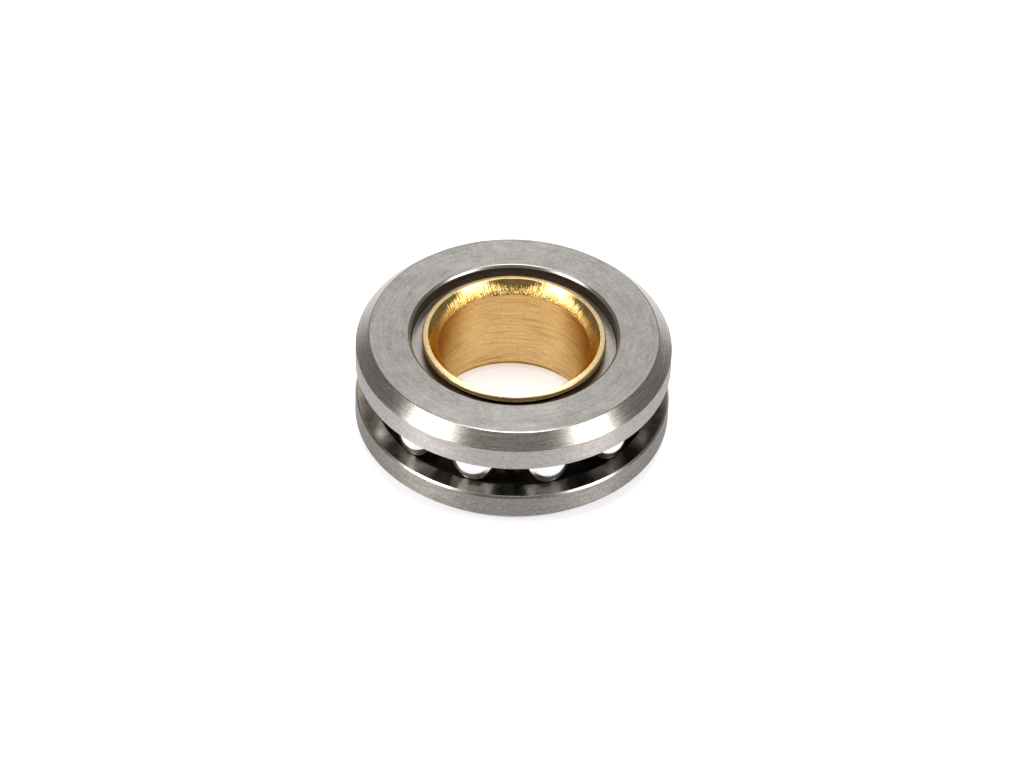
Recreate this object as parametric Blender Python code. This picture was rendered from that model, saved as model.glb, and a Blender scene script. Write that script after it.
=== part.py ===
"""A small self-contained thrust ball bearing, 6 x 13 x 4.7 mm.

Two equal steel races lie face to face on a ring of balls in a cage, and a brass sleeve with a lip at each
end holds the stack together. Z is the axis of rotation, and the origin is the centre of the bottom face.
"""

import math

import bmesh
import bpy
from mathutils import Matrix

MM = 0.001

# The whole bearing
OUTER_RADIUS = 6.5 * MM
RACE_THICKNESS = 1.6 * MM
LAND_GAP = 1.5 * MM
HEIGHT = 2 * RACE_THICKNESS + LAND_GAP
MIDDLE_Z = HEIGHT / 2

# Balls. The drift is how far round each one has come to rest from the middle of its loose pocket.
BALL_RADIUS = 1.0 * MM
PITCH_RADIUS = 5.05 * MM
FIRST_POCKET_ANGLE = math.radians(-134.4)
BALL_DRIFT_DEG = (-0.4, -1.6, 0.8, 1.6, 0.5, -0.9, 0.3, 1.1, -0.6, 0.2, -1.2, 0.7)
BALL_COUNT = len(BALL_DRIFT_DEG)
BALL_PLAY = 0.02 * MM

# Races
RACE_BORE_RADIUS = 3.5 * MM
FACE_CHAMFER_WIDTH = 0.55 * MM
FACE_CHAMFER_HEIGHT = 0.57 * MM
EDGE_BREAK = 0.09 * MM
COUNTERBORE_RADIUS = 4.25 * MM
COUNTERBORE_DEPTH = 0.65 * MM
COUNTERBORE_BREAK = 0.12 * MM
GROOVE_DEPTH = BALL_RADIUS + BALL_PLAY - LAND_GAP / 2
GROOVE_ARC_RADIUS = 1.05 * MM

# Sleeve, with its upper lip turned and its lower lip staked over
SLEEVE_BORE_RADIUS = 3.12 * MM
SLEEVE_OUTER_RADIUS = 3.4 * MM
UPPER_LIP_TOP = HEIGHT - 0.07 * MM
UPPER_LIP_CREST_RADIUS = 3.6 * MM
UPPER_FLARE_HEIGHT = 0.56 * MM
LOWER_LIP_BOTTOM = 0.03 * MM
LOWER_LIP_CREST_RADIUS = 3.4 * MM
LOWER_FLARE_HEIGHT = 0.36 * MM
LIP_REACH = 0.2 * MM
LIP_EDGE_HEIGHT = 0.2 * MM

# Cage
CAGE_INNER_RADIUS = 3.5 * MM
CAGE_OUTER_RADIUS = 5.2 * MM
CAGE_THICKNESS = 1.0 * MM
CAGE_EDGE_BREAK = 0.1 * MM
POCKET_PLAY = 0.18 * MM

# Fineness of the solids
RACE_STEPS = 72
SLEEVE_STEPS = 48
CAGE_STEPS = 6 * BALL_COUNT
GROOVE_STEPS = 8
BALL_SEGMENTS = 16
BALL_RINGS = 10
POCKET_SEGMENTS = 20
POCKET_RINGS = 12
SHARP_ANGLE = math.radians(30)

# Colour, roughness and metallic value of each material
STEEL = ("race_steel", (0.42, 0.41, 0.39, 1.0), 0.34, 1.0)
BRASS = ("sleeve_brass", (0.85, 0.60, 0.27, 1.0), 0.22, 1.0)
CHROME = ("ball_steel", (0.80, 0.80, 0.81, 1.0), 0.05, 1.0)
NYLON = ("cage_nylon", (0.012, 0.013, 0.017, 1.0), 0.5, 0.0)


def clear_scene():
    for old in list(bpy.data.objects):
        bpy.data.objects.remove(old, do_unlink=True)


def make_material(name, colour, roughness, metallic):
    material = bpy.data.materials.new(name)
    material.use_nodes = True
    material.diffuse_color = colour
    shader = material.node_tree.nodes["Principled BSDF"]
    shader.inputs["Base Color"].default_value = colour
    shader.inputs["Roughness"].default_value = roughness
    shader.inputs["Metallic"].default_value = metallic
    return material


def finish_mesh(bm, name, material):
    """Turn the faces outward and shade them smooth except across real edges."""
    bmesh.ops.recalc_face_normals(bm, faces=bm.faces)
    mesh = bpy.data.meshes.new(name)
    bm.to_mesh(mesh)
    bm.free()
    mesh.shade_smooth()
    mesh.set_sharp_from_angle(angle=SHARP_ANGLE)
    mesh.materials.append(material)
    return mesh


def turned_mesh(name, outline, steps, material):
    """A closed outline of (radius, height) points, spun once round Z."""
    bm = bmesh.new()
    points = [bm.verts.new((radius, 0, height)) for radius, height in outline]
    edges = [bm.edges.new((points[i - 1], points[i])) for i in range(len(points))]
    bmesh.ops.spin(
        bm, geom=points + edges, cent=(0, 0, 0), axis=(0, 0, 1), angle=math.tau, steps=steps, use_merge=True
    )
    return finish_mesh(bm, name, material)


def place(name, mesh, location=(0, 0, 0), rotation=(0, 0, 0), parent=None):
    item = bpy.data.objects.new(name, mesh)
    item.location = location
    item.rotation_euler = rotation
    item.parent = parent
    bpy.context.scene.collection.objects.link(item)
    return item


def groove_points():
    """The arc of the raceway, from its inner edge to its outer edge, cut upward into the land."""
    half_angle = math.acos(1 - GROOVE_DEPTH / GROOVE_ARC_RADIUS)
    points = []
    for step in range(GROOVE_STEPS + 1):
        angle = half_angle * (2 * step / GROOVE_STEPS - 1)
        across = GROOVE_ARC_RADIUS * math.sin(angle)
        fall = GROOVE_ARC_RADIUS * (1 - math.cos(angle))
        points.append((PITCH_RADIUS + across, GROOVE_DEPTH - fall))
    return points


def race_outline():
    """Half-section of a race standing on its grooved land, so that its outer face is on top."""
    floor_z = RACE_THICKNESS - COUNTERBORE_DEPTH
    return [
        (RACE_BORE_RADIUS, EDGE_BREAK),
        (RACE_BORE_RADIUS + EDGE_BREAK, 0),
        *groove_points(),
        (OUTER_RADIUS - EDGE_BREAK, 0),
        (OUTER_RADIUS, EDGE_BREAK),
        (OUTER_RADIUS, RACE_THICKNESS - FACE_CHAMFER_HEIGHT),
        (OUTER_RADIUS - FACE_CHAMFER_WIDTH, RACE_THICKNESS),
        (COUNTERBORE_RADIUS + COUNTERBORE_BREAK, RACE_THICKNESS),
        (COUNTERBORE_RADIUS, RACE_THICKNESS - COUNTERBORE_BREAK),
        (COUNTERBORE_RADIUS, floor_z + EDGE_BREAK),
        (COUNTERBORE_RADIUS - EDGE_BREAK, floor_z),
        (RACE_BORE_RADIUS + EDGE_BREAK, floor_z),
        (RACE_BORE_RADIUS, floor_z - EDGE_BREAK),
    ]


def lip_points(crest_radius, crest_z, flare_height, up):
    """One flared end, from the bore outward over the crest to the tube. up is 1 for the top end, -1 for the other."""
    lip_radius = crest_radius + LIP_REACH
    edge_z = crest_z - up * LIP_EDGE_HEIGHT
    return [
        (SLEEVE_BORE_RADIUS, crest_z - up * flare_height),
        (crest_radius - 0.2 * LIP_REACH, crest_z - up * 0.1 * LIP_EDGE_HEIGHT),
        (crest_radius, crest_z),
        (crest_radius + 0.6 * LIP_REACH, crest_z - up * 0.2 * LIP_EDGE_HEIGHT),
        (lip_radius - 0.05 * LIP_REACH, crest_z - up * 0.6 * LIP_EDGE_HEIGHT),
        (lip_radius, edge_z),
        (SLEEVE_OUTER_RADIUS, edge_z - up * (lip_radius - SLEEVE_OUTER_RADIUS)),
    ]


def sleeve_outline():
    top = lip_points(UPPER_LIP_CREST_RADIUS, UPPER_LIP_TOP, UPPER_FLARE_HEIGHT, 1)
    bottom = lip_points(LOWER_LIP_CREST_RADIUS, LOWER_LIP_BOTTOM, LOWER_FLARE_HEIGHT, -1)
    return top + bottom[::-1]


def cage_outline():
    half = CAGE_THICKNESS / 2
    inner, outer, cut = CAGE_INNER_RADIUS, CAGE_OUTER_RADIUS, CAGE_EDGE_BREAK
    return [
        (inner + cut, half),
        (inner, half - cut),
        (inner, cut - half),
        (inner + cut, -half),
        (outer - cut, -half),
        (outer, cut - half),
        (outer, half - cut),
        (outer - cut, half),
    ]


def pocket_angle(index):
    return FIRST_POCKET_ANGLE + index * math.tau / BALL_COUNT


def ball_mesh(material):
    """A ball whose poles lie on local X, the axis that it rolls about."""
    bm = bmesh.new()
    bmesh.ops.create_uvsphere(
        bm,
        u_segments=BALL_SEGMENTS,
        v_segments=BALL_RINGS,
        radius=BALL_RADIUS,
        matrix=Matrix.Rotation(math.pi / 2, 4, "Y"),
    )
    return finish_mesh(bm, "ball", material)


def pocket_cutter(material):
    """Every ball's pocket as one set of separate spheres, open to the outside of the cage."""
    bm = bmesh.new()
    for index in range(BALL_COUNT):
        turn = Matrix.Rotation(pocket_angle(index), 4, "Z")
        out = Matrix.Translation((PITCH_RADIUS, 0, 0))
        bmesh.ops.create_uvsphere(
            bm,
            u_segments=POCKET_SEGMENTS,
            v_segments=POCKET_RINGS,
            radius=BALL_RADIUS + POCKET_PLAY,
            matrix=turn @ out @ Matrix.Rotation(math.pi / 2, 4, "Y"),
        )
    return finish_mesh(bm, "pocket_cutter", material)


def make_races(steel):
    mesh = turned_mesh("race", race_outline(), RACE_STEPS, steel)
    place("lower_race", mesh, (0, 0, RACE_THICKNESS), (math.pi, 0, 0))
    place("upper_race", mesh, (0, 0, RACE_THICKNESS + LAND_GAP))


def make_sleeve(brass):
    place("sleeve", turned_mesh("sleeve", sleeve_outline(), SLEEVE_STEPS, brass))


def make_cage(nylon):
    """The cage turns about Z at its own centre, and its pockets face the balls."""
    cage = place("ball_cage", turned_mesh("cage", cage_outline(), CAGE_STEPS, nylon), (0, 0, MIDDLE_Z))
    cage.data.transform(Matrix.Rotation(pocket_angle(0), 4, "Z"))
    cutter = place("pocket_cutter", pocket_cutter(nylon), parent=cage)
    cutter.hide_render = True
    cutter.display_type = "WIRE"
    pockets = cage.modifiers.new("pockets", "BOOLEAN")
    pockets.operation = "DIFFERENCE"
    pockets.solver = "EXACT"
    pockets.object = cutter
    return cage


def make_balls(chrome, cage):
    mesh = ball_mesh(chrome)
    for index, drift in enumerate(BALL_DRIFT_DEG):
        angle = pocket_angle(index) + math.radians(drift)
        centre = (PITCH_RADIUS * math.cos(angle), PITCH_RADIUS * math.sin(angle), 0)
        place(f"ball_{index + 1:02d}", mesh, centre, (0, 0, angle), cage)


def main():
    clear_scene()
    make_races(make_material(*STEEL))
    make_sleeve(make_material(*BRASS))
    cage = make_cage(make_material(*NYLON))
    make_balls(make_material(*CHROME), cage)


main()
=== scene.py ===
import math

import bmesh
import bpy
from mathutils import Matrix, Vector


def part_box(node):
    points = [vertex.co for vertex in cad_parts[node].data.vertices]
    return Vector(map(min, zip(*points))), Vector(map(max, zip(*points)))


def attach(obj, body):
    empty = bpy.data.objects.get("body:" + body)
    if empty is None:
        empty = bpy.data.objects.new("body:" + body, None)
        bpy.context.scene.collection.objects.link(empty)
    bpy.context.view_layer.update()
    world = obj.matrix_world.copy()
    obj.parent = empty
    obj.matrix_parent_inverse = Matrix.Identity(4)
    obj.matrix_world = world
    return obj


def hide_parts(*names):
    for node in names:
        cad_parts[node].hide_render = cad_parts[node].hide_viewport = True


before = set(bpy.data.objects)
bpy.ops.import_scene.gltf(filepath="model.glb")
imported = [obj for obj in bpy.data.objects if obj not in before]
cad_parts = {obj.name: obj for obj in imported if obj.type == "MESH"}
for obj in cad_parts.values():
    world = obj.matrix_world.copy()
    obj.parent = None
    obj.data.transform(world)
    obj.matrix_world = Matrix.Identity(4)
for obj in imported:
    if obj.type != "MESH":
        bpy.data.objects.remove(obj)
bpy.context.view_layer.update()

MM = 0.001

# ---------------------------------------------------------------- sizes, from the frame
UPPER_LOW, UPPER_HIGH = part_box("upper_race")
_, LOWER_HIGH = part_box("lower_race")
SLEEVE_LOW, SLEEVE_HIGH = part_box("sleeve")
CAGE_LOW, CAGE_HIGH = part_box("ball_cage")
HEIGHT = UPPER_HIGH.z
OUTER_RADIUS = UPPER_HIGH.x
RACE_THICKNESS = LOWER_HIGH.z
MIDDLE_Z = HEIGHT / 2
BALLS = sorted(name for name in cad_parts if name.startswith("ball_") and name != "ball_cage")


def centre_of(node):
    low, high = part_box(node)
    return (low + high) / 2


BALL_LOW, BALL_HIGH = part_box(BALLS[0])
BALL_RADIUS = (BALL_HIGH.z - BALL_LOW.z) / 2
PITCH_RADIUS = centre_of(BALLS[0]).to_2d().length

# Races
RACE_BORE_RADIUS = 3.5 * MM
FACE_CHAMFER_WIDTH = 0.55 * MM
FACE_CHAMFER_HEIGHT = 0.57 * MM
FACE_EDGE_BREAK = 0.018 * MM
EDGE_BREAK = 0.09 * MM
COUNTERBORE_RADIUS = 4.25 * MM
COUNTERBORE_DEPTH = 0.65 * MM
COUNTERBORE_BREAK = 0.1 * MM
GROOVE_DEPTH = 0.27 * MM
GROOVE_ARC_RADIUS = 1.05 * MM

# Fillet radii of the races
CRISP = 0.012 * MM
SOFT = 0.03 * MM
TOOL_CORNER = 0.08 * MM

# Sleeve
SLEEVE_BORE_RADIUS = 3.12 * MM
SLEEVE_OUTER_RADIUS = 3.4 * MM
UPPER_CREST_RADIUS = 3.55 * MM
UPPER_FLARE_HEIGHT = 0.56 * MM
LOWER_CREST_RADIUS = 3.38 * MM
LOWER_FLARE_HEIGHT = 0.36 * MM
LIP_REACH = 0.24 * MM
LIP_EDGE_HEIGHT = 0.26 * MM
CREST_FALL = 0.06 * MM
CREST_INSET = 0.02 * MM
FLARE_BULGE = 0.03 * MM
FLARE_FOOT_FILLET = 0.06 * MM
FLARE_FILLET = 0.9 * MM
CREST_FILLET = 0.03 * MM
LIP_TOP_FILLET = 0.08 * MM
LIP_EDGE_FILLET = 0.06 * MM
LIP_NECK_FILLET = 0.1 * MM

# Cage
CAGE_INNER_RADIUS = 3.5 * MM
CAGE_OUTER_RADIUS = 5.2 * MM
CAGE_EDGE = 0.1 * MM
FINGER_CORNER = 0.06 * MM
INSIDE_ANGLE_SHARE = 0.9
FIRST_POCKET_ANGLE = math.radians(-134.4)
POCKET_PLAY = 0.18 * MM
POCKET_RADIUS = BALL_RADIUS + POCKET_PLAY

# Fineness of the meshes
LATHE_STEPS = 256
ARC_STEP = math.radians(12)
ARC_FILLET_SHARE = 0.9
LONGEST_ROW = 0.25 * MM
GROOVE_STEPS = 14
FLARE_STEPS = 6
BALL_SUBDIVISIONS = 5
POCKET_STEPS = 16
CAGE_WALL_STEPS = 8
CAGE_EDGE_STEPS = 4
SHARP_ANGLE = math.radians(50)

# Floor. It lies a little under the bearing, so that their two flat faces don't coincide.
FLOOR_GAP = 0.02 * MM
FLOOR_RADIUS = 45 * MM
FLOOR_SIDES = 96
FLOOR_GLOW = 0.25
FLOOR_GLOW_EXTRA = 0.3

# Softboxes: name, azimuth and elevation in degrees, distance, width and height in metres, radiance,
# and how much of the half-width fades toward the edge
SOFTBOXES = (
    ("left_box", -149, 34, 0.4, 0.27, 0.30, 8.0, 0.9),
    ("right_box", -30, 34, 0.4, 0.26, 0.30, 6.4, 0.9),
    ("back_panel", 90, 39, 0.6, 0.6, 0.36, 1.6, 0.5),
    ("top_box", 90, 80, 0.5, 0.32, 0.5, 5.0, 0.4),
)
ROOM_COLOUR = (1.0, 0.985, 0.96, 1)
ROOM_STRENGTH = 0.16

# Camera
CAMERA_DISTANCE = 30 * OUTER_RADIUS
CAMERA_ELEVATION = math.radians(42.24)
CAMERA_ROLL = math.radians(1.94)
CAMERA_TARGET = Vector((-0.0031 * OUTER_RADIUS, -0.4736 * OUTER_RADIUS, HEIGHT))
CAMERA_LENS = 169.2
SENSOR_WIDTH = 36.0
CLIP_START = 0.01
CLIP_END = 10


# ---------------------------------------------------------------- turned meshes
class Outline:
    """A closed half-section, listed so that its solid lies on the left.

    Each corner is (radius, height, fillet, zone). The zone is the material slot of the stretch that
    leaves the corner.
    """

    def __init__(self, corners):
        self.corners = corners
        self.rows = []
        count = len(corners)
        for index in range(count):
            before, here, after = corners[index - 1], corners[index], corners[(index + 1) % count]
            self.add_corner(before, here, after)
        self.fill_straights()

    def add_corner(self, before, here, after):
        """Rounds one corner with an arc that is tangent to both of its straights."""
        spot = Vector(here[:2])
        fillet = here[2]
        into = (spot - Vector(before[:2])).normalized()
        out = (Vector(after[:2]) - spot).normalized()
        turn = math.atan2(into.x * out.y - into.y * out.x, into.dot(out))
        normal_in = Vector((into.y, -into.x))
        normal_out = Vector((out.y, -out.x))
        side = 1 if turn > 0 else -1
        setback = fillet * math.tan(abs(turn) / 2)
        centre = spot - into * setback - normal_in * fillet * side
        steps = max(1, math.ceil(abs(turn) / ARC_STEP))
        for step in range(steps + 1):
            angle = turn * step / steps
            normal = Matrix.Rotation(angle, 2) @ normal_in
            if step == steps:
                normal = normal_out
            point = centre + normal * fillet * side
            zone = here[3] if step * 2 >= steps else before[3]
            self.rows.append((point, normal, zone))

    def fill_straights(self):
        """Splits long straights, so that no face is a long thin strip."""
        filled = []
        for index, (point, normal, zone) in enumerate(self.rows):
            after = self.rows[(index + 1) % len(self.rows)][0]
            filled.append((point, normal, zone))
            pieces = math.ceil((after - point).length / LONGEST_ROW)
            for piece in range(1, pieces):
                filled.append((point.lerp(after, piece / pieces), normal, zone))
        self.rows = filled


def arc_corners(centre, radius, start, end, steps, zone):
    """Points along an arc, as corners. Wide fillets keep the shading smooth between its two crisp ends."""
    corners = []
    for step in range(steps + 1):
        angle = start + (end - start) * step / steps
        spot = centre + Vector((math.sin(angle), math.cos(angle))) * radius
        fillet = ARC_FILLET_SHARE * radius if 0 < step < steps else CRISP
        corners.append((spot.x, spot.y, fillet, zone))
    return corners


def skin_faces(row_count, steps):
    """The quads between closed rings of points, with the last ring joined to the first."""
    faces = []
    for row in range(row_count):
        low = row * steps
        high = (row + 1) % row_count * steps
        for step in range(steps):
            after = (step + 1) % steps
            faces.append((low + step, low + after, high + after, high + step))
    return faces


def lathe(name, outline, materials, base_z=0.0, flip=False):
    """Turns an outline into a closed mesh whose normals follow its arcs exactly."""
    verts, normals = [], []
    rows = outline.rows
    for point, normal, _ in rows:
        for step in range(LATHE_STEPS):
            angle = math.tau * step / LATHE_STEPS
            cos, sin = math.cos(angle), math.sin(angle)
            height = base_z - point.y if flip else base_z + point.y
            verts.append((point.x * cos, point.x * sin, height))
            normals.append((normal.x * cos, normal.x * sin, -normal.y if flip else normal.y))
    faces = skin_faces(len(rows), LATHE_STEPS)
    if flip:
        faces = [face[::-1] for face in faces]
    zones = [zone for _, _, zone in rows for _ in range(LATHE_STEPS)]
    mesh = bpy.data.meshes.new(name)
    mesh.from_pydata(verts, [], faces)
    mesh.shade_smooth()
    mesh.polygons.foreach_set("material_index", zones)
    for material in materials:
        mesh.materials.append(material)
    mesh.normals_split_custom_set_from_vertices(normals)
    return new_object(name, mesh)


def new_object(name, data):
    item = bpy.data.objects.new(name, data)
    bpy.context.scene.collection.objects.link(item)
    return item


# ---------------------------------------------------------------- node helpers
class Shader:
    """A material's node tree, with short calls that add one node and give its output."""

    def __init__(self, name, colour, roughness, metallic):
        self.material = bpy.data.materials.new(name)
        self.material.use_nodes = True
        self.tree = self.material.node_tree
        self.surface = self.tree.nodes["Principled BSDF"]
        self.set("Base Color", (*colour, 1.0))
        self.set("Roughness", roughness)
        self.set("Metallic", metallic)

    def set(self, socket, value):
        self.surface.inputs[socket].default_value = value

    def feed(self, socket, output):
        self.tree.links.new(output, self.surface.inputs[socket])

    def node(self, kind, **settings):
        made = self.tree.nodes.new(kind)
        for key, value in settings.items():
            setattr(made, key, value)
        return made

    def put(self, socket, value):
        if isinstance(value, bpy.types.NodeSocket):
            self.tree.links.new(value, socket)
        else:
            socket.default_value = value

    def math(self, operation, *values):
        made = self.node("ShaderNodeMath", operation=operation)
        for socket, value in zip(made.inputs, values):
            self.put(socket, value)
        return made.outputs[0]

    def place(self):
        return self.node("ShaderNodeTexCoord").outputs["Object"]

    def radius_and_height(self):
        """X, Y, the distance from the Z axis and the height, all in metres."""
        split = self.node("ShaderNodeSeparateXYZ")
        self.put(split.inputs[0], self.place())
        x, y, z = split.outputs
        square = self.math("ADD", self.math("MULTIPLY", x, x), self.math("MULTIPLY", y, y))
        return x, y, self.math("SQRT", square), z

    def ring_vector(self, around, across, lean):
        """A vector that changes slowly round Z and fast across the turning lines.

        The lines follow height + lean * radius. Leaning lines are mirrored below the middle, where the
        second race and the second lip lie upside down.
        """
        x, y, radius, z = self.radius_and_height()
        if lean:
            z = self.math("ADD", self.math("ABSOLUTE", self.math("SUBTRACT", z, MIDDLE_Z)), MIDDLE_Z)
        line = self.math("MULTIPLY_ADD", radius, lean, z)
        made = self.node("ShaderNodeCombineXYZ")
        self.put(made.inputs[0], self.math("MULTIPLY", self.math("DIVIDE", x, radius), around))
        self.put(made.inputs[1], self.math("MULTIPLY", self.math("DIVIDE", y, radius), around))
        self.put(made.inputs[2], self.math("MULTIPLY", line, across))
        return made.outputs[0]

    def noise(self, vector, scale, detail=3.0, roughness=0.55, distortion=0.0):
        made = self.node("ShaderNodeTexNoise")
        self.put(made.inputs["Vector"], vector)
        made.inputs["Scale"].default_value = scale
        made.inputs["Detail"].default_value = detail
        made.inputs["Roughness"].default_value = roughness
        made.inputs["Distortion"].default_value = distortion
        return made.outputs["Fac"]

    def span(self, value, low, high, new_low, new_high):
        made = self.node("ShaderNodeMapRange")
        for socket, number in zip(made.inputs, (value, low, high, new_low, new_high)):
            self.put(socket, number)
        return made.outputs[0]

    def mix(self, factor, first, second):
        made = self.node("ShaderNodeMix", data_type="RGBA")
        self.put(made.inputs[0], factor)
        self.put(made.inputs[6], (*first, 1.0) if isinstance(first, tuple) else first)
        self.put(made.inputs[7], (*second, 1.0) if isinstance(second, tuple) else second)
        return made.outputs[2]

    def bump(self, height, depth, base=None):
        """Height from 0 to 1 as a relief of that depth in metres."""
        made = self.node("ShaderNodeBump")
        made.inputs["Strength"].default_value = 1.0
        made.inputs["Distance"].default_value = depth
        self.put(made.inputs["Height"], height)
        if base is not None:
            self.put(made.inputs["Normal"], base)
        return made.outputs[0]

    def turned_tangent(self, amount):
        """Stretches highlights across the turning lines, as fine grooves round Z do."""
        tangent = self.node("ShaderNodeTangent", direction_type="RADIAL", axis="Z")
        self.feed("Tangent", tangent.outputs[0])
        self.set("Anisotropic", amount)
        self.set("Anisotropic Rotation", 0.25)


# ---------------------------------------------------------------- materials
def ground_steel():
    """The flat outer face: ground, with faint concentric scratches, light stains and fine grain."""
    s = Shader("ground_steel", (0.40, 0.39, 0.375), 0.36, 1.0)
    rings = s.noise(s.ring_vector(3.0, 11000, -1.0), 1.0, 3.0, 0.6)
    patch = s.noise(s.place(), 420, 2.0, 0.5)
    scratches = s.math("MULTIPLY", rings, s.span(patch, 0.45, 0.65, 0.0, 1.0))
    stains = s.noise(s.place(), 1100, 5.0, 0.62)
    grain = s.noise(s.place(), 11000, 3.0, 0.7)
    marks = s.math("MULTIPLY_ADD", stains, 0.37, s.math("MULTIPLY", rings, 0.28))
    tone = s.span(s.math("MULTIPLY_ADD", grain, 0.35, marks), 0.39, 0.61, 0.0, 1.0)
    s.feed("Base Color", s.mix(tone, (0.19, 0.181, 0.168), (0.36, 0.342, 0.32)))
    s.feed("Roughness", s.span(stains, 0.3, 0.7, 0.32, 0.46))
    s.feed("Normal", s.bump(grain, 3.5e-6, s.bump(scratches, 7.0e-6)))
    s.turned_tangent(0.4)
    return s.material


def turned_steel(name, dark, light, roughness, depth, brushed):
    """A rim or a chamfer with turning lines round it, short bright streaks and sparkling grain."""
    s = Shader(name, light, roughness, 1.0)
    lines = s.noise(s.ring_vector(4.0, 13000, -1.0), 1.0, 3.0, 0.6)
    streaks = s.noise(s.ring_vector(22.0, 15000, -1.0), 1.0, 2.0, 0.55)
    grain = s.noise(s.place(), 15000, 1.0, 0.5)
    marks = s.math("MULTIPLY_ADD", grain, 0.4, s.math("MULTIPLY", streaks, 0.3))
    tone = s.span(s.math("MULTIPLY_ADD", lines, 0.3, marks), 0.36, 0.64, 0.0, 1.0)
    s.feed("Base Color", s.mix(tone, dark, light))
    s.feed("Roughness", s.span(lines, 0.3, 0.7, roughness * 0.9, roughness * 1.15))
    s.feed("Normal", s.bump(grain, depth, s.bump(streaks, depth * 0.6, s.bump(lines, depth * 0.5))))
    s.turned_tangent(brushed)
    return s.material


def raceway_steel():
    """The land and the groove: fine ground, smeared by the balls, with painted shade that darkens the +X
    side.
    """
    s = Shader("raceway_steel", (0.33, 0.30, 0.26), 0.36, 1.0)
    lines = s.noise(s.ring_vector(6.0, 12000, -1.0), 1.0, 4.0, 0.6)
    smears = s.noise(s.ring_vector(14.0, 900, -1.0), 1.0, 3.0, 0.55)
    grain = s.noise(s.place(), 12000, 2.0, 0.6)
    marks = s.math("MULTIPLY_ADD", grain, 0.5, s.math("MULTIPLY", smears, 0.5))
    tone = s.span(marks, 0.38, 0.62, 0.0, 1.0)
    # Painted shade: toward +X the land fades from the bright pair of colours to the dark pair.
    x = s.radius_and_height()[0]
    side = s.span(s.math("MULTIPLY_ADD", smears, 1.5 * MM, x), 0.5 * MM, 5.5 * MM, 0.0, 1.0)
    bright = s.mix(tone, (0.26, 0.235, 0.2), (0.43, 0.395, 0.34))
    dark = s.mix(tone, (0.08, 0.07, 0.06), (0.15, 0.135, 0.115))
    s.feed("Base Color", s.mix(side, bright, dark))
    s.feed("Roughness", s.span(smears, 0.3, 0.7, 0.26, 0.36))
    s.feed("Normal", s.bump(grain, 1.2e-6, s.bump(lines, 2.0e-6)))
    s.turned_tangent(0.4)
    return s.material


def ball_steel():
    """Mirror-polished bearing steel with the faintest haze."""
    s = Shader("ball_steel", (0.78, 0.78, 0.79), 0.04, 1.0)
    haze = s.noise(s.place(), 2600, 4.0, 0.6)
    scratches = s.noise(s.place(), 22000, 2.0, 0.5)
    tone = s.span(haze, 0.3, 0.7, 0.0, 1.0)
    s.feed("Base Color", s.mix(tone, (0.82, 0.82, 0.825), (0.90, 0.90, 0.905)))
    s.feed("Roughness", s.span(haze, 0.3, 0.7, 0.03, 0.07))
    s.feed("Normal", s.bump(scratches, 0.05e-6))
    return s.material


def polished_brass():
    """The lips and flares: bright, with chatter down the flare that is deepest next to the bore."""
    s = Shader("polished_brass", (0.93, 0.71, 0.33), 0.13, 1.0)
    radius = s.radius_and_height()[2]
    rise = s.span(radius, SLEEVE_BORE_RADIUS, UPPER_CREST_RADIUS - 0.08 * MM, 1.0, 0.0)
    depth = s.math("MULTIPLY_ADD", s.math("POWER", rise, 1.6), 0.92, 0.08)
    lip = s.span(radius, UPPER_CREST_RADIUS - 0.05 * MM, UPPER_CREST_RADIUS, 0.0, 1.0)
    chatter = s.math("MULTIPLY", s.noise(s.ring_vector(38.0, 1400, 1.0), 1.0, 4.0, 0.62), depth)
    ripple = s.noise(s.ring_vector(9.0, 1500, 1.0), 1.0, 2.0, 0.5)
    grain = s.noise(s.place(), 12000, 2.0, 0.6)
    flare = s.mix(s.span(ripple, 0.3, 0.7, 0.0, 1.0), (0.80, 0.48, 0.12), (0.96, 0.71, 0.29))
    rim = s.mix(s.span(grain, 0.36, 0.64, 0.0, 1.0), (0.80, 0.57, 0.27), (1.0, 0.80, 0.48))
    s.feed("Base Color", s.mix(lip, flare, rim))
    s.feed("Roughness", s.math("MULTIPLY_ADD", lip, 0.24, s.span(ripple, 0.3, 0.7, 0.09, 0.14)))
    fine = s.bump(s.math("MULTIPLY", grain, lip), 2.0e-6, s.bump(ripple, 2e-6))
    s.feed("Normal", s.bump(chatter, 80e-6, fine))
    s.set("Specular Tint", (0.8, 0.55, 0.26, 1.0))
    return s.material


def turned_brass():
    """The bore: satin, with irregular rings from the boring tool."""
    s = Shader("turned_brass", (0.80, 0.57, 0.31), 0.3, 1.0)
    rings = s.noise(s.ring_vector(3.5, 21000, 0.0), 1.0, 3.0, 0.65)
    marks = s.noise(s.ring_vector(1.2, 5600, 0.0), 1.0, 2.0, 0.5)
    streaks = s.noise(s.ring_vector(34.0, 17000, 0.0), 1.0, 2.0, 0.6)
    groove = s.span(marks, 0.61, 0.69, 1.0, 0.0)
    lit = s.math("MULTIPLY_ADD", rings, 0.6, s.math("MULTIPLY", streaks, 0.4))
    tone = s.math("MULTIPLY", s.span(lit, 0.38, 0.62, 0.25, 1.0), s.span(groove, 0.0, 1.0, 0.2, 1.0))
    s.feed("Base Color", s.mix(tone, (0.64, 0.40, 0.14), (1.0, 0.76, 0.38)))
    s.feed("Roughness", s.span(streaks, 0.3, 0.7, 0.28, 0.37))
    s.set("Specular Tint", (0.3, 0.13, 0.03, 1.0))
    s.feed("Normal", s.bump(groove, 4e-6, s.bump(streaks, 3.5e-6, s.bump(rings, 3.5e-6))))
    s.turned_tangent(0.9)
    return s.material


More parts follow.
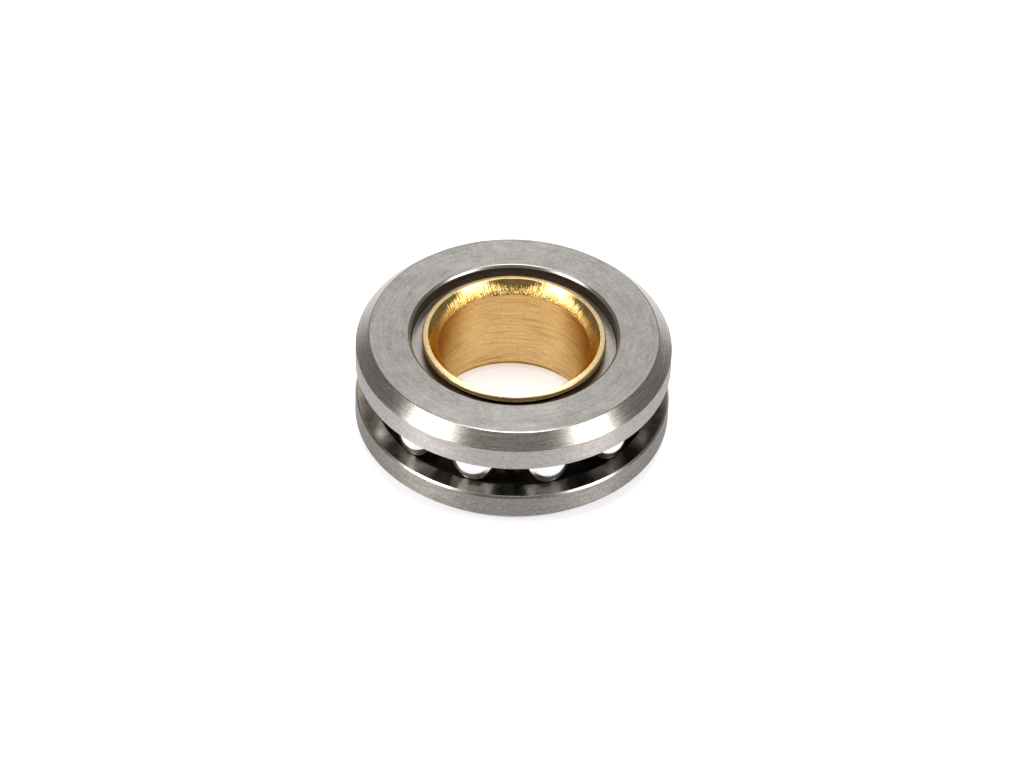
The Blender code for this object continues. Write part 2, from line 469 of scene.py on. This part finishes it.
def cage_nylon():
    """Black moulded nylon with a fine mould grain."""
    s = Shader("cage_nylon", (0.012, 0.013, 0.018), 0.45, 0.0)
    grain = s.noise(s.place(), 9000, 3.0, 0.6)
    cloud = s.noise(s.place(), 1200, 3.0, 0.5)
    tone = s.span(cloud, 0.3, 0.7, 0.0, 1.0)
    s.feed("Base Color", s.mix(tone, (0.022, 0.023, 0.028), (0.036, 0.038, 0.046)))
    s.feed("Roughness", s.span(grain, 0.3, 0.7, 0.38, 0.55))
    s.feed("Normal", s.bump(grain, 2.0e-6))
    return s.material


# ---------------------------------------------------------------- pieces
GROUND, TURNED, RIM, RACEWAY, BORED, EDGE = range(6)
POLISHED, BORE = range(2)


def race_outline():
    """The upper race standing on its grooved land, listed anticlockwise from the land's inner edge."""
    floor_z = RACE_THICKNESS - COUNTERBORE_DEPTH
    half_angle = math.acos(1 - GROOVE_DEPTH / GROOVE_ARC_RADIUS)
    arc_centre = Vector((PITCH_RADIUS, GROOVE_DEPTH - GROOVE_ARC_RADIUS))
    face_edge = OUTER_RADIUS - FACE_CHAMFER_WIDTH
    return Outline(
        [
            (RACE_BORE_RADIUS + EDGE_BREAK, 0, CRISP, RACEWAY),
            *arc_corners(arc_centre, GROOVE_ARC_RADIUS, -half_angle, half_angle, GROOVE_STEPS, RACEWAY),
            (OUTER_RADIUS - EDGE_BREAK, 0, SOFT, EDGE),
            (OUTER_RADIUS, EDGE_BREAK, 2 * SOFT, RIM),
            (OUTER_RADIUS, RACE_THICKNESS - FACE_CHAMFER_HEIGHT, SOFT, TURNED),
            (face_edge + FACE_EDGE_BREAK, RACE_THICKNESS - FACE_EDGE_BREAK, CRISP, EDGE),
            (face_edge - FACE_EDGE_BREAK, RACE_THICKNESS, CRISP, GROUND),
            (COUNTERBORE_RADIUS + COUNTERBORE_BREAK, RACE_THICKNESS, 3 * SOFT, EDGE),
            (COUNTERBORE_RADIUS, RACE_THICKNESS - COUNTERBORE_BREAK, 3 * SOFT, BORED),
            (COUNTERBORE_RADIUS, floor_z, TOOL_CORNER, BORED),
            (RACE_BORE_RADIUS + EDGE_BREAK, floor_z, CRISP, BORED),
            (RACE_BORE_RADIUS, floor_z - EDGE_BREAK, CRISP, BORED),
            (RACE_BORE_RADIUS, EDGE_BREAK, CRISP, BORED),
        ]
    )


def make_race(name, base_z, flip, rim):
    materials = [MATERIALS[key] for key in ("ground", "turned", rim, "raceway", "bored", "edge")]
    race = lathe(name + "_finish", race_outline(), materials, base_z, flip)
    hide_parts(name)
    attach(race, name)


def flare_corners(crest_radius, crest_z, flare_height, up):
    """The flare between bore and crest. It bulges a little, so that it opens like the bell of a trumpet."""
    foot = Vector((SLEEVE_BORE_RADIUS, crest_z - up * flare_height))
    run = Vector((crest_radius, crest_z)) - foot
    bulge = Vector((-up * run.y, up * run.x)).normalized() * FLARE_BULGE
    corners = [(foot.x, foot.y, FLARE_FOOT_FILLET, POLISHED)]
    for step in range(1, FLARE_STEPS):
        part = step / FLARE_STEPS
        spot = foot + run * part + bulge * 4 * part * (1 - part)
        corners.append((spot.x, spot.y, FLARE_FILLET, POLISHED))
    return corners


def lip_corners(crest_radius, crest_z, flare_height, up):
    """One flared end, from the bore outward over the crest to the tube.

    up is 1 for the top end and -1 for the bottom end.
    """
    lip_radius = crest_radius + LIP_REACH
    edge_z = crest_z - up * LIP_EDGE_HEIGHT
    neck_z = edge_z - up * (lip_radius - SLEEVE_OUTER_RADIUS)
    return [
        *flare_corners(crest_radius, crest_z, flare_height, up),
        (crest_radius, crest_z, CREST_FILLET, POLISHED),
        (lip_radius - CREST_INSET, crest_z - up * CREST_FALL, LIP_TOP_FILLET, POLISHED),
        (lip_radius, edge_z, LIP_EDGE_FILLET, POLISHED),
        (SLEEVE_OUTER_RADIUS, neck_z, LIP_NECK_FILLET, POLISHED),
    ]


def make_sleeve():
    top = lip_corners(UPPER_CREST_RADIUS, SLEEVE_HIGH.z, UPPER_FLARE_HEIGHT, 1)
    bottom = lip_corners(LOWER_CREST_RADIUS, SLEEVE_LOW.z, LOWER_FLARE_HEIGHT, -1)
    corners = bottom + top[::-1]
    radius, height, fillet, _ = corners[-1]
    corners[-1] = (radius, height, fillet, BORE)
    sleeve = lathe("sleeve_finish", Outline(corners), [MATERIALS["polished"], MATERIALS["bore"]])
    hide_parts("sleeve")
    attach(sleeve, "sleeve")


def make_ball(node):
    bm = bmesh.new()
    bmesh.ops.create_icosphere(bm, subdivisions=BALL_SUBDIVISIONS, radius=BALL_RADIUS)
    mesh = bpy.data.meshes.new(node + "_finish")
    bm.to_mesh(mesh)
    bm.free()
    mesh.shade_smooth()
    mesh.materials.append(MATERIALS["ball"])
    ball = new_object(node + "_finish", mesh)
    ball.location = centre_of(node)
    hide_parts(node)
    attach(ball, node)


def cage_levels():
    """Heights from the cage's middle, each with how far its rounded edges have drawn in."""
    half = (CAGE_HIGH.z - CAGE_LOW.z) / 2
    levels = []
    for step in range(CAGE_EDGE_STEPS + 1):
        angle = math.pi / 2 * step / CAGE_EDGE_STEPS
        levels.append((CAGE_EDGE * (1 - math.cos(angle)) - half, CAGE_EDGE * (1 - math.sin(angle))))
    wall = half - CAGE_EDGE
    straight = [(wall * (2 * step / CAGE_WALL_STEPS - 1), 0.0) for step in range(1, CAGE_WALL_STEPS)]
    mirrored = [(-rise, inset) for rise, inset in levels[::-1]]
    return levels + straight + mirrored


def cage_half_period(rise, inset):
    """Points from the middle of a pocket to the middle of a finger.

    Each is (outside radius, outside angle, inside angle).
    """
    pocket = math.sqrt(POCKET_RADIUS**2 - rise**2) + inset
    outer = CAGE_OUTER_RADIUS - inset
    side_angle = math.asin(pocket / PITCH_RADIUS)
    finger_angle = math.pi / len(BALLS)
    points = []
    for step in range(POCKET_STEPS + 1):
        turn = (math.pi / 2 - side_angle) * step / POCKET_STEPS
        spot = Vector((PITCH_RADIUS - pocket * math.cos(turn), pocket * math.sin(turn)))
        angle = math.atan2(spot.y, spot.x)
        points.append((spot.length, angle, INSIDE_ANGLE_SHARE * angle))
    side_radius = points[-1][0]
    corner = FINGER_CORNER / outer
    tips = [
        ((side_radius + outer) / 2, side_angle),
        (outer - FINGER_CORNER, side_angle),
        (outer, side_angle + corner),
        (outer, (side_angle + corner + finger_angle) / 2),
        (outer, finger_angle),
    ]
    start = points[-1][2]
    for index, (radius, angle) in enumerate(tips):
        share = (index + 1) / len(tips)
        points.append((radius, angle, start + (finger_angle - start) * share))
    return points


def polar(radius, angle, height):
    return radius * math.cos(angle), radius * math.sin(angle), height


def cage_level_points(rise, inset):
    """The outside and inside rings of one level, point for point round the cage."""
    half = cage_half_period(rise, inset)
    mirrored = [(radius, -angle, -inside) for radius, angle, inside in half[-2:0:-1]]
    inner = CAGE_INNER_RADIUS + inset
    outside_ring, inside_ring = [], []
    for pocket in range(len(BALLS)):
        centre = FIRST_POCKET_ANGLE + pocket * math.tau / len(BALLS)
        for radius, angle, inside in mirrored + half:
            outside_ring.append(polar(radius, centre + angle, rise))
            inside_ring.append(polar(inner, centre + inside, rise))
    return outside_ring, inside_ring


def make_cage():
    """The cage as a closed skin: up the outside, across the top, down the bore and across the bottom."""
    outside, inside = [], []
    for rise, inset in cage_levels():
        outer_ring, inner_ring = cage_level_points(rise, inset)
        outside.append(outer_ring)
        inside.append(inner_ring)
    rings = outside + inside[::-1]
    points = [point for ring in rings for point in ring]
    mesh = bpy.data.meshes.new("ball_cage_finish")
    mesh.from_pydata(points, [], skin_faces(len(rings), len(rings[0])))
    mesh.shade_smooth()
    mesh.set_sharp_from_angle(angle=SHARP_ANGLE)
    mesh.materials.append(MATERIALS["nylon"])
    cage = new_object("ball_cage_finish", mesh)
    cage.location.z = MIDDLE_Z
    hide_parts("ball_cage")
    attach(cage, "cage")


# ---------------------------------------------------------------- studio
def fade_edges(light, share):
    """Dims a softbox toward its edges. share is how much of its half-width the fade takes."""
    light.use_nodes = True
    tree = light.node_tree
    place = tree.nodes.new("ShaderNodeNewGeometry").outputs["Parametric"]
    split = tree.nodes.new("ShaderNodeSeparateXYZ")
    tree.links.new(place, split.inputs[0])
    both = tree.nodes.new("ShaderNodeMath")
    both.operation = "MULTIPLY"
    for across, factor in zip(split.outputs[:2], both.inputs):
        offset = tree.nodes.new("ShaderNodeMath")
        offset.operation = "SUBTRACT"
        offset.inputs[1].default_value = 0.5
        tree.links.new(across, offset.inputs[0])
        distance = tree.nodes.new("ShaderNodeMath")
        distance.operation = "ABSOLUTE"
        tree.links.new(offset.outputs[0], distance.inputs[0])
        fade = tree.nodes.new("ShaderNodeMapRange")
        fade.interpolation_type = "SMOOTHSTEP"
        fade.inputs["From Min"].default_value = 0.5
        fade.inputs["From Max"].default_value = 0.5 * (1 - share)
        tree.links.new(distance.outputs[0], fade.inputs["Value"])
        tree.links.new(fade.outputs[0], factor)
    tree.links.new(both.outputs[0], tree.nodes["Emission"].inputs["Strength"])


def area_light(name, azimuth, elevation, distance, width, height, radiance, fade):
    """A softbox that faces the bearing. Its power follows from how bright its face should look."""
    light = bpy.data.lights.new(name, "AREA")
    light.shape = "RECTANGLE"
    light.size = width
    light.size_y = height
    light.energy = radiance * math.pi * width * height
    fade_edges(light, fade)
    item = new_object(name, light)
    a = math.radians(azimuth)
    e = math.radians(elevation)
    out = Vector((math.cos(a) * math.cos(e), math.sin(a) * math.cos(e), math.sin(e)))
    item.location = out * distance + Vector((0, 0, MIDDLE_Z))
    item.rotation_mode = "QUATERNION"
    item.rotation_quaternion = out.to_track_quat("Z", "Y")
    item.visible_camera = False


def make_world():
    """A dim room to the bearing and its reflections, and plain white to the camera."""
    world = bpy.data.worlds.new("studio")
    bpy.context.scene.world = world
    world.use_nodes = True
    tree = world.node_tree
    path = tree.nodes.new("ShaderNodeLightPath")
    mix = tree.nodes.new("ShaderNodeMixShader")
    seen = tree.nodes.new("ShaderNodeBackground")
    seen.inputs["Color"].default_value = (1, 1, 1, 1)
    room = tree.nodes["Background"]
    room.inputs["Color"].default_value = ROOM_COLOUR
    room.inputs["Strength"].default_value = ROOM_STRENGTH
    tree.links.new(path.outputs["Is Camera Ray"], mix.inputs[0])
    tree.links.new(room.outputs[0], mix.inputs[1])
    tree.links.new(seen.outputs[0], mix.inputs[2])
    tree.links.new(mix.outputs[0], tree.nodes["World Output"].inputs[0])


def make_floor():
    """A white table, with an extra glow that only the camera sees."""
    s = Shader("studio_floor", (0.82, 0.82, 0.83), 0.8, 0.0)
    cloud = s.noise(s.place(), 6.0, 2.0, 0.5)
    s.feed("Base Color", s.mix(cloud, (0.80, 0.80, 0.84), (0.82, 0.82, 0.86)))
    s.set("Specular IOR Level", 0.0)
    s.set("Emission Color", (1.0, 0.985, 0.99, 1.0))
    seen = s.node("ShaderNodeLightPath").outputs["Is Camera Ray"]
    s.feed("Emission Strength", s.math("MULTIPLY_ADD", seen, FLOOR_GLOW_EXTRA, FLOOR_GLOW))
    bm = bmesh.new()
    bmesh.ops.create_circle(bm, cap_ends=True, segments=FLOOR_SIDES, radius=FLOOR_RADIUS)
    mesh = bpy.data.meshes.new("studio_floor")
    bm.to_mesh(mesh)
    bm.free()
    mesh.materials.append(s.material)
    floor = new_object("studio_floor", mesh)
    floor.location.z = -FLOOR_GAP


def make_camera():
    data = bpy.data.cameras.new("camera")
    data.lens = CAMERA_LENS
    data.sensor_width = SENSOR_WIDTH
    data.clip_start = CLIP_START
    data.clip_end = CLIP_END
    camera = new_object("camera", data)
    back = Vector((0, -math.cos(CAMERA_ELEVATION), math.sin(CAMERA_ELEVATION)))
    camera.location = CAMERA_TARGET + back * CAMERA_DISTANCE
    camera.rotation_mode = "QUATERNION"
    roll = Matrix.Rotation(CAMERA_ROLL, 3, "Z").to_quaternion()
    camera.rotation_quaternion = back.to_track_quat("Z", "Y") @ roll
    bpy.context.scene.camera = camera


def make_studio():
    bpy.context.scene.view_settings.view_transform = "Standard"
    make_world()
    make_floor()
    for softbox in SOFTBOXES:
        area_light(*softbox)
    make_camera()


MATERIALS = {
    "ground": ground_steel(),
    "turned": turned_steel("turned_steel", (0.42, 0.385, 0.34), (0.72, 0.675, 0.61), 0.28, 3.2e-6, 0.6),
    "rim_upper": turned_steel("rim_steel", (0.48, 0.445, 0.415), (0.78, 0.73, 0.69), 0.48, 1.8e-6, 0.9),
    # The lower rim uses darker copies of the rim colours: painted shade from the shaded floor just beneath
    # it.
    "rim_lower": turned_steel("rim_steel_painted_shade", (0.26, 0.24, 0.215), (0.56, 0.52, 0.475), 0.5, 2.4e-6, 0.9),
    "edge": turned_steel("edge_steel", (0.50, 0.47, 0.43), (0.66, 0.62, 0.57), 0.24, 0.4e-6, 0.3),
    "raceway": raceway_steel(),
    "bored": turned_steel("bored_steel", (0.23, 0.21, 0.19), (0.34, 0.315, 0.285), 0.3, 1.2e-6, 0.45),
    "polished": polished_brass(),
    "bore": turned_brass(),
    "ball": ball_steel(),
    "nylon": cage_nylon(),
}

make_race("upper_race", UPPER_LOW.z, False, "rim_upper")
make_race("lower_race", LOWER_HIGH.z, True, "rim_lower")
make_sleeve()
for ball_node in BALLS:
    make_ball(ball_node)
make_cage()
make_studio()
